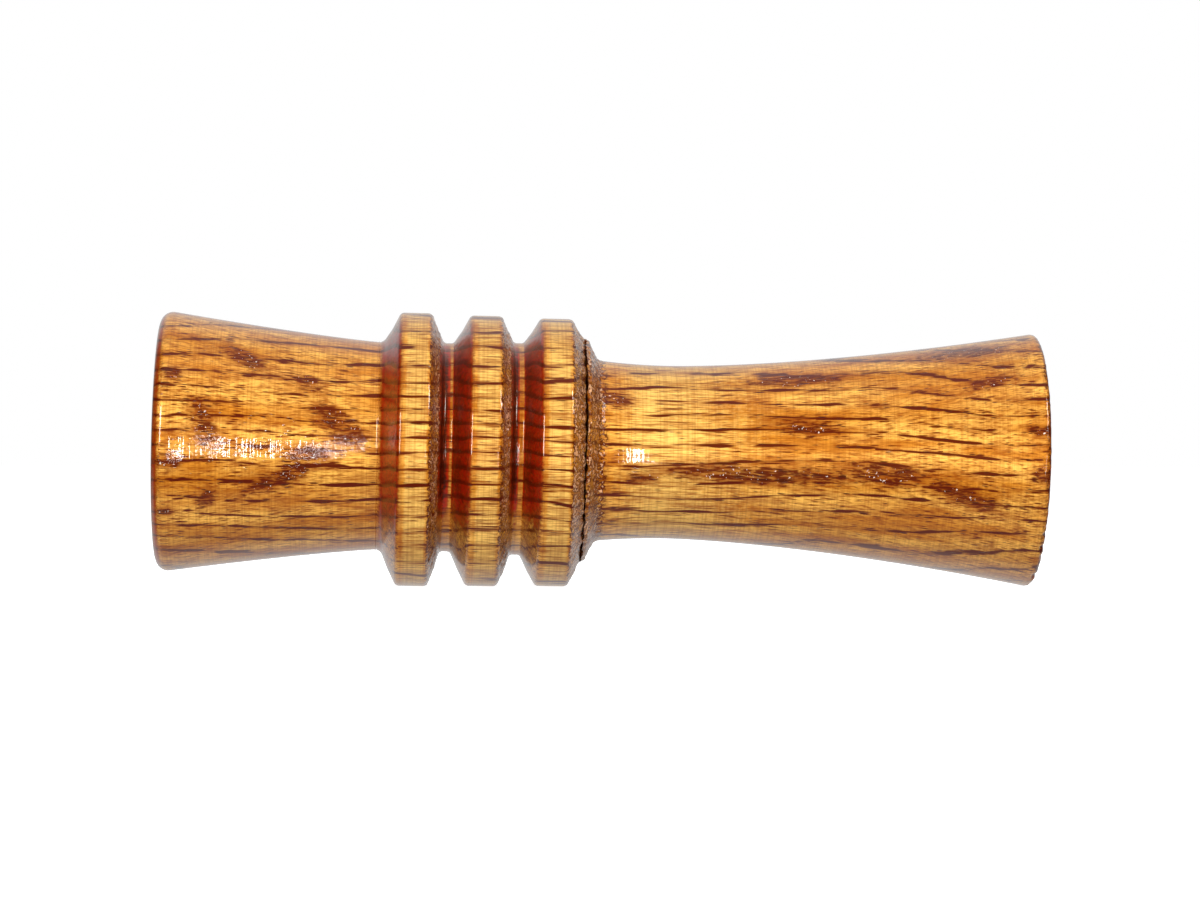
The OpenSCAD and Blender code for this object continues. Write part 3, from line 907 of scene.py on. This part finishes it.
@dataclass(frozen=True)
class Barrel:
    """The mouthpiece, its flare and the three beads, with the bore that takes the stopper."""

    length: float = 58.6 * MM
    lip_r: float = 17.95 * MM
    lip_round: float = 1.7 * MM
    mouth_round: float = 1.6 * MM
    waist_r: float = 14.4 * MM
    flare_power: float = 1.22
    waist_cove: float = 1.1 * MM
    score_at: float = 30.4 * MM
    score_half: float = 0.12 * MM
    score_depth: float = 0.09 * MM
    bead_radii: tuple[float, ...] = (19.0 * MM, 18.825 * MM, 18.65 * MM)
    groove_radii: tuple[float, ...] = (14.5 * MM, 14.75 * MM)
    bead_top: float = 4.3 * MM
    front_run: float = 2.3 * MM
    rear_run: float = 1.75 * MM
    groove_floor: float = 1.35 * MM
    groove_cove: float = 0.6 * MM
    bead_edge: float = 0.8 * MM
    collar_r: float = 15.55 * MM
    mouth_bore_r: float = 7.95 * MM
    mouth_bore_len: float = 10 * MM
    socket_r: float = 9.525 * MM
    socket_cone: float = 1 * MM
    socket_bevel: float = 0.6 * MM
    outer_spacing: float = 0.34 * MM
    bore_spacing: float = 4 * MM

    @property
    def pitch(self) -> float:
        """Distance from one bead to the next."""
        return self.bead_top + self.rear_run + self.groove_floor + self.front_run

    def bead_start(self, i: int) -> float:
        """Where the top of a bead starts, counted from the mouth."""
        after = len(self.bead_radii) - 1 - i
        return self.length - self.rear_run - self.bead_top - after * self.pitch

    @property
    def waist_end(self) -> float:
        """Where the first bead's slope starts."""
        return self.bead_start(0) - self.front_run

    def outline(self) -> list[Point]:
        """Draws the section.

        Returns:
            Its points, from the lip over the beads to the seam and back by the bore.
        """
        lean = math.degrees(math.atan(
            self.flare_power * (self.lip_r - self.waist_r) / (self.waist_end - self.lip_round)))
        lip = arc((self.lip_round, self.lip_r - self.lip_round), self.lip_round, 180, 90 - lean, 8)
        mouthpiece = flare(lip[-1], (self.waist_end, self.waist_r), self.flare_power)
        path: list[Corner] = [(*mouthpiece[-1], 0), (self.waist_end, self.waist_r, self.waist_cove)]
        for i, radius in enumerate(self.bead_radii):
            start = self.bead_start(i)
            path += [(start, radius, self.bead_edge),
                     (start + self.bead_top, radius, self.bead_edge)]
            if i < len(self.groove_radii):
                floor = start + self.bead_top + self.rear_run
                path += [(floor, self.groove_radii[i], self.groove_cove),
                         (floor + self.groove_floor, self.groove_radii[i], self.groove_cove)]
        path += [(self.length, self.collar_r, 0),
                 (self.length, self.socket_r + self.socket_bevel, 0)]
        outer = lip + mouthpiece[1:-1] + softened(path)
        outer = scored(outer, self.score_at, self.score_half, self.score_depth)
        bore = [
            (self.length, self.socket_r + self.socket_bevel),
            (self.length - self.socket_bevel, self.socket_r),
            (self.mouth_bore_len + self.socket_cone, self.socket_r),
            (self.mouth_bore_len, self.mouth_bore_r),
            *arc((self.mouth_round, self.mouth_bore_r + self.mouth_round), self.mouth_round,
                 270, 180),
        ]
        face = divided([bore[-1], outer[0]], 2 * self.outer_spacing)
        return (divided(outer + bore[:1], self.outer_spacing)[:-1]
                + divided(bore, self.bore_spacing)[:-1] + face[:-1])

    def shares(self, place: float, radius: float, lean: float) -> Shares:
        """What turning does to the outline at one point.

        Args:
            place: distance from the mouth end.
            radius: distance from the axis.
            lean: how far the surface faces along the axis, from -1 to 1.

        Returns:
            The shares by name.
        """
        outside = eased(radius, self.waist_r - 2 * MM, self.waist_r - MM)
        face = eased(place, MM, 0.2 * MM) * eased(radius, self.mouth_bore_r, self.mouth_bore_r + MM)
        beads = eased(place, self.waist_end - 0.5 * MM, self.waist_end + MM) * outside
        side = Side.EXHAUST if lean > 0 else Side.MOUTH
        slope = eased(abs(lean), 0.3, 0.75)
        floor = self.groove_radii[0]
        near_seam = eased(place, self.length - 1.2 * MM, self.length)
        last = eased(place, self.length - 3 * MM, self.length - 2.5 * MM)
        high = max(last, eased(radius, floor + 0.5 * MM, floor + 1.9 * MM))
        # Both slopes darken towards the groove floors, the rear ones most: red stain of the end
        # grain, and past 1 near-black painted shade deep in the grooves
        if side is Side.EXHAUST:
            soak = beads * slope * (0.3 + 1.2 * (1 - high))
            torn = beads * slope * high * (
                1 - 0.35 * eased(radius, floor + 2.4 * MM, floor + 4 * MM) * (1 - last))
        else:
            inner = eased(place, self.waist_end + 4 * MM, self.waist_end + 6 * MM)
            soak = (outside * (1 - face) + 0.6 * face) * slope * (
                0.95 + 0.3 * inner * eased(radius, floor + 4 * MM, floor + MM))
            torn = 0.1 * beads * slope
        # The floor of each groove is darkest on the side of the torn slope: painted shade in the
        # hollow at the slope's foot, over the stain
        most = NO_LIMIT
        for i in range(len(self.groove_radii)):
            foot = self.bead_start(i) + self.bead_top + self.rear_run
            pit = eased(abs(place - foot), 0.7 * MM, 0.4 * MM)
            soak = max(soak, 1.4 * pit * eased(radius, floor + 1.4 * MM, floor + 0.7 * MM))
            if foot + 0.7 * MM < place < foot + self.groove_floor - 0.1 * MM:
                most = 0.4
        flat = beads * eased(radius, floor + 3.8 * MM, floor + 4 * MM)
        return {
            "soak": soak if soak > 0.02 else -0.7 * flat,
            "most": most,
            "sided": beads,
            "torn": torn + 0.02 * beads,
            "loose": beads * eased(radius, floor, floor + 2.5 * MM) * (1 - 0.5 * near_seam),
            "seam": -near_seam * outside,
        }

    def build(self, lathe: Lathe, finish: LacqueredOak) -> None:
        """Turns the barrel and lets it stand for its CAD node.

        Args:
            lathe: what turns it.
            finish: its oak.
        """
        made = lathe.turn("barrel_turned", self.outline(), self.shares, finish.material())
        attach(made, "barrel")
        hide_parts("barrel")


@dataclass(frozen=True)
class Stopper:
    """The collar, neck and long flare, with the tenon, the seat and the bell in it."""

    shoulder: float = 58.7 * MM
    seam: float = 58.6 * MM
    end: float = 121.8 * MM
    collar_r: float = 15.55 * MM
    collar_w: float = 0.6 * MM
    collar_fall: float = 0.3 * MM
    collar_edge: float = 0.35 * MM
    collar_run: float = 1.3 * MM
    neck_cove: float = 0.9 * MM
    neck_foot_r: float = 12.6 * MM
    neck_r: float = 12.05 * MM
    neck_at: float = 12 * MM
    exhaust_r: float = 17.75 * MM
    flare_power: float = 1.58
    exhaust_edge: float = 0.7 * MM
    tenon_len: float = 21 * MM
    tenon_r: float = 9.455 * MM
    tenon_bevel: float = 0.6 * MM
    seat_r: float = 6.35 * MM
    seat_depth: float = 24.5 * MM
    seat_bevel: float = 0.4 * MM
    bore_r: float = 4.75 * MM
    bell_r: float = 12 * MM
    bell_len: float = 20 * MM
    bell_edge: float = 0.8 * MM
    bell_power: float = 2.2
    ring_floor_r: float = 7.955 * MM
    ring_half: float = 1.15 * MM
    rings_back: tuple[float, ...] = (15 * MM, 6 * MM)
    outer_spacing: float = 0.42 * MM
    bore_spacing: float = 3 * MM

    def outline(self) -> list[Point]:
        """Draws the section.

        Returns:
            Its points, from the tenon over the flare to the bell and back by the bore.
        """
        front = self.seam - self.tenon_len
        foot = (self.shoulder + self.collar_w + self.collar_run, self.neck_foot_r)
        low = (self.seam + self.neck_at, self.neck_r)
        corner, bell_corner = (self.end, self.exhaust_r), (self.end, self.bell_r)
        bell_start = (self.end - self.bell_len, self.bore_r)
        neck = flare(foot, low, 2, 24)
        horn = flare(corner, low, self.flare_power)[:0:-1]
        bell = flare(bell_corner, bell_start, self.bell_power, 24)
        tenon = [(front, self.seat_r + self.seat_bevel), (front, self.tenon_r - self.tenon_bevel),
                 (front + self.tenon_bevel, self.tenon_r)]
        for back in self.rings_back:
            for side, radius in ((-1, self.tenon_r), (-1, self.ring_floor_r),
                                 (1, self.ring_floor_r), (1, self.tenon_r)):
                tenon.append((self.seam - back + side * self.ring_half, radius))
        tenon += [(self.shoulder, self.tenon_r), (self.shoulder, self.collar_r)]
        collar = softened([
            (self.shoulder, self.collar_r, 0),
            (self.shoulder + self.collar_w, self.collar_r - self.collar_fall, self.collar_edge),
            (*foot, self.neck_cove), (*neck[3], 0)])
        mouth = softened([
            (*horn[-2], 0), (*corner, self.exhaust_edge), (*bell_corner, self.bell_edge),
            (*bell[1], 0)])
        outer = tenon[-1:] + collar + neck[3:] + [low] + horn[:-1] + mouth + bell[1:] + [bell_start]
        bore = [bell_start, (front + self.seat_depth, self.bore_r),
                (front + self.seat_depth, self.seat_r), (front + self.seat_bevel, self.seat_r),
                tenon[0]]
        return (divided(tenon, 0.9 * MM)[:-1] + divided(outer, self.outer_spacing)[:-1]
                + divided(bore, self.bore_spacing)[:-1])

    def shares(self, place: float, radius: float, lean: float) -> Shares:
        """What turning does to the outline at one point.

        Args:
            place: distance from the mouth end.
            radius: distance from the axis.
            lean: how far the surface faces along the axis, from -1 to 1.

        Returns:
            The shares by name.
        """
        outside = eased(radius, self.neck_r - MM, self.neck_r - 0.5 * MM)
        collar = eased(place, self.shoulder + 3.2 * MM, self.shoulder + 2 * MM) * outside
        collar *= 1.0 if place >= self.shoulder - 0.01 * MM else 0.0
        rim = eased(place, self.end - 0.9 * MM, self.end - 0.2 * MM)
        rim *= eased(radius, self.exhaust_r - 1.4 * MM, self.exhaust_r - 0.6 * MM)
        near_seam = eased(place, self.shoulder + 0.9 * MM, self.shoulder) * collar
        ends = 0.62 * eased(radius, self.neck_r - 2 * MM, self.neck_r)
        neck = eased(place, self.shoulder + 2 * MM, self.shoulder + 9 * MM)
        neck *= eased(place, self.shoulder + 30 * MM, self.shoulder + 9 * MM)
        return {
            "soak": (0.35 * collar + ends * eased(abs(lean), 0.35, 0.95) * (1 - collar)
                     - 0.5 * neck * outside),
            "torn": collar * 0.9 + 0.35 * rim,
            "chip": rim,
            "seam": near_seam * eased(radius, self.tenon_r, self.tenon_r + 2 * MM),
        }

    def build(self, lathe: Lathe, finish: LacqueredOak) -> None:
        """Turns the stopper and lets it stand for its CAD node.

        Args:
            lathe: what turns it.
            finish: its oak.
        """
        made = lathe.turn("stopper_turned", self.outline(), self.shares, finish.material())
        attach(made, "stopper")
        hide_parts("stopper")


@dataclass(frozen=True)
class SealingRings:
    """The two rubber rings in the tenon's grooves, squeezed flat against the socket.

    Attributes:
        nodes: their CAD nodes.
        thick: how thick they are between the groove's floor and the socket.
        edge: half the rounding of their edges.
        flash: how far the line of flash stands up where the mould parted.
        flash_half: half the width of that line.
        spacing: how far apart the section's points are at most.
    """

    nodes: tuple[str, ...] = ("o_ring_front", "o_ring_rear")
    thick: float = 1.51 * MM
    edge: float = 0.3 * MM
    flash: float = 0.04 * MM
    flash_half: float = 0.15 * MM
    spacing: float = 0.12 * MM

    def outline(self, node: str, lathe: Lathe) -> list[Point]:
        """Draws a ring's section from its CAD node's box.

        Args:
            node: the CAD node.
            lathe: what turns the ring.

        Returns:
            The section's points.
        """
        low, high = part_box(node)
        start, end, outer = low.x + lathe.middle, high.x + lathe.middle, high.y
        inner, rounding = outer - self.thick, 2 * self.edge
        points = softened([
            (end, inner, 0), (start, inner, rounding), (start, outer, rounding),
            (end, outer, rounding), (end, inner, rounding), (start, inner, 0)])
        middle = (start + end) / 2
        return [(s, r - self.flash * eased(abs(s - middle), 0, self.flash_half))
                if r > outer - self.edge else (s, r) for s, r in divided(points, self.spacing)]

    def build(self, lathe: Lathe, finish: NitrileRubber) -> None:
        """Turns both rings and lets each stand for its CAD node.

        Args:
            lathe: what turns them.
            finish: their rubber.
        """
        rubber = finish.material()
        for node in self.nodes:
            made = lathe.turn(node + "_moulded", self.outline(node, lathe),
                              lambda place, radius, lean: {}, rubber)
            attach(made, "seals")
            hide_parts(node)


@dataclass(frozen=True)
class ReedAssembly:
    """The tone board, both reeds and the cork wedge.

    Attributes:
        edge_break: how far the tone board's edges are broken. The cork's are broken twice that.
        film_break: how far the film's edges are broken.
        bevel_steps: flat steps over a broken edge.
        bevel_from: the angle between faces, in degrees, from which an edge is broken.
        flat_below: the angle, in degrees, below which faces are joined.
        sharp: the angle, in degrees, from which an edge is sharp.
        film_cuts: how often a reed is cut along its length, so that it can bend.
        bend_length: how far from the wedge a reed takes up its bend. Not used.
        flex: each reed's CAD node, with the name of a body that is not used.
    """

    edge_break: float = 0.15 * MM
    film_break: float = 0.04 * MM
    bevel_steps: int = 2
    bevel_from: float = 35.0
    flat_below: float = 1.0
    sharp: float = 32.0
    film_cuts: int = 60
    bend_length: float = 20 * MM
    flex: dict[str, str] = field(default_factory=lambda: {
        "lower_reed": "lower_reed", "upper_reed": "upper_reed"})

    def eased_copy(self, node: str, name: str, width: float, finish: bpy.types.Material,
                   cuts: int = 1) -> bpy.types.Object:
        """Copies a CAD node's mesh, joins its faces and breaks its sharp edges.

        Args:
            node: the CAD node.
            name: the new piece's name.
            width: width of the broken edges.
            finish: its material.
            cuts: how many lengths its faces are cut into for bending.

        Returns:
            The new piece at the origin.
        """
        made = piece(name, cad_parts[node].data.copy(), finish)
        with opened(made.data) as shell:
            bmesh.ops.remove_doubles(shell, verts=shell.verts[:], dist=WELD)
            bmesh.ops.dissolve_limit(shell, angle_limit=math.radians(self.flat_below),
                                     verts=shell.verts[:], edges=shell.edges[:])
        bevel = made.modifiers.new("broken edges", "BEVEL")
        bevel.width = width
        bevel.segments = self.bevel_steps
        bevel.limit_method = "ANGLE"
        bevel.angle_limit = math.radians(self.bevel_from)
        bevel.use_clamp_overlap = True
        settled(made)
        low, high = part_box(node)
        with opened(made.data) as shell:
            for i in range(1, cuts):
                at = low.x + (high.x - low.x) * i / cuts
                bmesh.ops.bisect_plane(
                    shell, geom=shell.verts[:] + shell.edges[:] + shell.faces[:],
                    plane_co=(at, 0, 0), plane_no=(1, 0, 0))
        made.data.polygons.foreach_set("use_smooth", [True] * len(made.data.polygons))
        made.data.set_sharp_from_angle(angle=math.radians(self.sharp))
        log.info("%s: %d faces", name, len(made.data.polygons))
        return made

    def build(self, board: TurnedAcetal, film: FrostedFilm, cork: PressedCork) -> None:
        """Builds the four pieces inside the call.

        Args:
            board: the tone board's plastic.
            film: the reeds' film.
            cork: the wedge's cork.
        """
        made = self.eased_copy("tone_board", "tone_board_turned", self.edge_break, board.material())
        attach(made, "stopper")
        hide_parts("tone_board")
        made = self.eased_copy("wedge", "wedge_cork", 2 * self.edge_break, cork.material())
        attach(made, "wedge")
        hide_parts("wedge")
        veil = film.material()
        for node, body in self.flex.items():
            made = self.eased_copy(node, node + "_film", self.film_break, veil, self.film_cuts)
            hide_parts(node)
            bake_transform(made)


@dataclass(frozen=True)
class Studio:
    """The floor, the lights and the camera, as the photograph has them.

    Attributes:
        rest_front: the lowest point under the first bead, as (x, z).
        rest_rear: the lowest point under the exhaust end, as (x, z).
        camera_at: where the camera stands.
        aim_height: the height that the lights face, over the call's middle.
        yaw: how far the camera looks towards +X from straight ahead, in degrees.
        roll: how far the call dips to the right in its picture, in degrees.
        lens: its focal length in mm.
        sensor: the width of its sensor in mm.
        floor_half: half the floor's width.
        floor_faces: faces along each side of the floor.
        dimmest: how bright the room is where it is darkest.
        light_share: how much of the room's brightness lights the wood.
    """

    rest_front: Point = (-25.9 * MM, -0.42 * MM)
    rest_rear: Point = (60.2 * MM, 1.3 * MM)
    camera_at: tuple[float, float, float] = (-25.8 * MM, -527 * MM, 19.1 * MM)
    aim_height: float = 19.0 * MM
    yaw: float = 2.84
    roll: float = 1.27
    lens: float = 113.5
    sensor: float = 36.0
    floor_half: float = 3.0
    floor_faces: int = 8
    dimmest: float = 0.06
    light_share: float = 0.25

    def floor(self, finish: PaintedFloor) -> None:
        """Lays a pale floor under the two places that the call rests on.

        Args:
            finish: its paint.
        """
        slope = (self.rest_rear[1] - self.rest_front[1]) / (self.rest_rear[0] - self.rest_front[0])
        level = self.rest_front[1] - slope * self.rest_front[0]
        mesh = bpy.data.meshes.new("floor")
        with opened(mesh) as shell:
            bmesh.ops.create_grid(shell, x_segments=self.floor_faces,
                                  y_segments=self.floor_faces, size=self.floor_half)
            for vert in shell.verts:
                vert.co.z = level + slope * vert.co.x
        made = piece("floor", mesh, finish.material())
        made.visible_glossy = made.visible_diffuse = made.visible_shadow = False

    def camera(self) -> None:
        """Puts the camera where the photograph was taken from."""
        data = bpy.data.cameras.new("camera")
        data.lens = self.lens
        data.sensor_width = self.sensor
        made = bpy.data.objects.new("camera", data)
        place = Matrix.Translation(self.camera_at)
        for turn, axis in ((-self.yaw, "Z"), (90, "X"), (self.roll, "Z")):
            place = place @ Matrix.Rotation(math.radians(turn), 4, axis)
        made.matrix_world = place
        bpy.context.scene.collection.objects.link(made)
        bpy.context.scene.camera = made

    def light(self, name: str, azimuth: float, elevation: float, away: float, size: Point,
              power: float, lit: Lit) -> None:
        """Adds a soft area light that faces the call.

        Args:
            name: its name.
            azimuth: its direction, in degrees from straight in front towards +X.
            elevation: its direction, in degrees over the axis.
            away: its distance from the call's middle.
            size: its width and height.
            power: its power in watts.
            lit: what it is for.
        """
        data = bpy.data.lights.new(name, "AREA")
        data.shape = "RECTANGLE"
        data.size, data.size_y = size
        data.energy = power
        made = bpy.data.objects.new(name, data)
        turn, up = math.radians(azimuth), math.radians(elevation)
        toward = Vector((math.sin(turn) * math.cos(up), -math.cos(turn) * math.cos(up),
                         math.sin(up)))
        made.matrix_world = (Matrix.Translation(Vector((0, 0, self.aim_height)) + toward * away)
                             @ toward.to_track_quat("Z", "Y").to_matrix().to_4x4())
        made.visible_camera = False
        made.visible_diffuse, made.visible_glossy = lit.value
        bpy.context.scene.collection.objects.link(made)

    def lights(self) -> None:
        """Sets the soft lights: two for the wood, two for the glints and one for both."""
        self.light("overhead_softbox", 0, 74, 0.8, (0.9, 0.22), 2.7, Lit.WOOD)
        self.light("front_fill", -8, 2, 1.2, (0.9, 0.6), 21.2, Lit.WOOD)
        self.light("right_softbox", 42, 40, 0.9, (0.14, 0.32), 2.8, Lit.BOTH)
        self.light("right_window", 9.8, -5, 0.65, (0.0115, 0.198), 0.42, Lit.GLOSS)
        self.light("left_window", -36, 13, 0.9, (0.16, 0.48), 4.0, Lit.GLOSS)

    def world(self) -> None:
        """Surrounds the call with white, and with a dim room on the camera's side."""
        made = bpy.data.worlds.new("white_room")
        made.use_nodes = True
        made.node_tree.nodes.clear()
        put = partial(add, made.node_tree)
        way = put(SPLIT, (put("ShaderNodeTexCoord").outputs["Generated"],)).outputs
        aside = put(MATH, (way["X"],), operation="ABSOLUTE")
        # Each part of the room begins and ends in some direction, and goes from dim to bright
        behind, middle, table, below, above = (
            put(RANGE, {"Value": where, "From Min": start, "From Max": end, "To Min": dim,
                        "To Max": bright}, interpolation_type="SMOOTHSTEP")
            for where, start, end, dim, bright in (
                (way["Y"], 0.0, 0.6, 0.0, 0.6), (aside, 0.75, 0.45, 0.06, 1.0),
                (way["Z"], -0.08, -0.25, 0.0, 1.0), (way["Z"], -0.5, -0.95, 0.0, 0.27),
                (way["Z"], 0.7, 1.0, 0.0, 0.28)))
        middle = put(MATH, (middle, table), operation="MAXIMUM")
        # It gives gloss more than light, and the camera sees it white
        ray = put("ShaderNodeLightPath").outputs
        kept = put(MATH, (ray["Is Diffuse Ray"], self.light_share - 1, 1.0),
                   operation="MULTIPLY_ADD")
        bright = behind
        for operation, other in (
                ("MAXIMUM", below), ("MAXIMUM", above), ("ADD", self.dimmest),
                ("MULTIPLY", middle), ("MULTIPLY", kept), ("MAXIMUM", ray["Is Camera Ray"])):
            bright = put(MATH, (bright, other), operation=operation)
        sky = put("ShaderNodeBackground", {"Color": linear("#ffffff"), "Strength": bright})
        put("ShaderNodeOutputWorld", {"Surface": sky})
        bpy.context.scene.world = made

    def build(self, finish: PaintedFloor) -> None:
        """Sets up the whole studio.

        Args:
            finish: the floor's paint.
        """
        self.floor(finish)
        self.camera()
        self.lights()
        self.world()
        bpy.context.scene.view_settings.view_transform = "Standard"
        log.info("studio set")


def main() -> None:
    """Builds the call and the studio."""
    logging.basicConfig(level=logging.INFO, format="%(message)s")
    low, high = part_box("barrel")[0].x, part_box("stopper")[1].x
    barrel_low, barrel_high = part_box("barrel")
    lathe = Lathe(axis_height=(barrel_low.z + barrel_high.z) / 2, middle=(high - low) / 2)
    barrel_oak = LacqueredOak("red_oak_turned_lacquered_barrel", (0.0, 0.0, 0.4), tuple(
        Fleck(*spot) for spot in (
            (-54.0, 21.8, 4.8, 2.2, -72), (-36.6, 22.6, 4.6, 2.0, -24),
            (-43.4, 14.5, 7.4, 1.5, 23), (-58.4, 28.2, 2.2, 1.3, 0),
            (-58.6, 16.2, 2.2, 1.6, -10), (-40.2, 27.3, 2.8, 1.3, -20),
            (-48.6, 30.4, 4.2, 1.3, -28), (-53.4, 11.4, 1.9, 1.3, 40),
            (-39.6, 17.6, 3.6, 1.3, 4), (-59.0, 9.6, 1.8, 0.9, 0),
            (-34.4, 20.2, 3.6, 2.2, 0))))
    stopper_oak = LacqueredOak("red_oak_turned_lacquered_stopper", (31.0, 7.0, 1.1), tuple(
        Fleck(*spot) for spot in (
            (1.8, 26.0, 3.0, 1.2, -6), (22.0, 16.2, 17.0, 1.6, -1),
            (5.6, 15.4, 3.0, 1.0, 0), (28.0, 22.8, 5.0, 1.5, -4),
            (38.6, 16.6, 8.4, 1.9, -4), (49.6, 13.8, 7.0, 1.5, -20),
            (27.0, 29.2, 8.0, 1.0, 4), (59.4, 23.0, 2.6, 1.1, 0),
            (59.8, 17.0, 1.8, 1.5, 0), (53.2, 29.6, 5.0, 1.0, 15),
            (50.4, 33.6, 8.4, 0.9, 8))))
    Barrel().build(lathe, barrel_oak)
    Stopper().build(lathe, stopper_oak)
    SealingRings().build(lathe, NitrileRubber())
    ReedAssembly().build(TurnedAcetal(), FrostedFilm(), PressedCork())
    Studio().build(PaintedFloor())


if __name__ == "__main__":
    main()
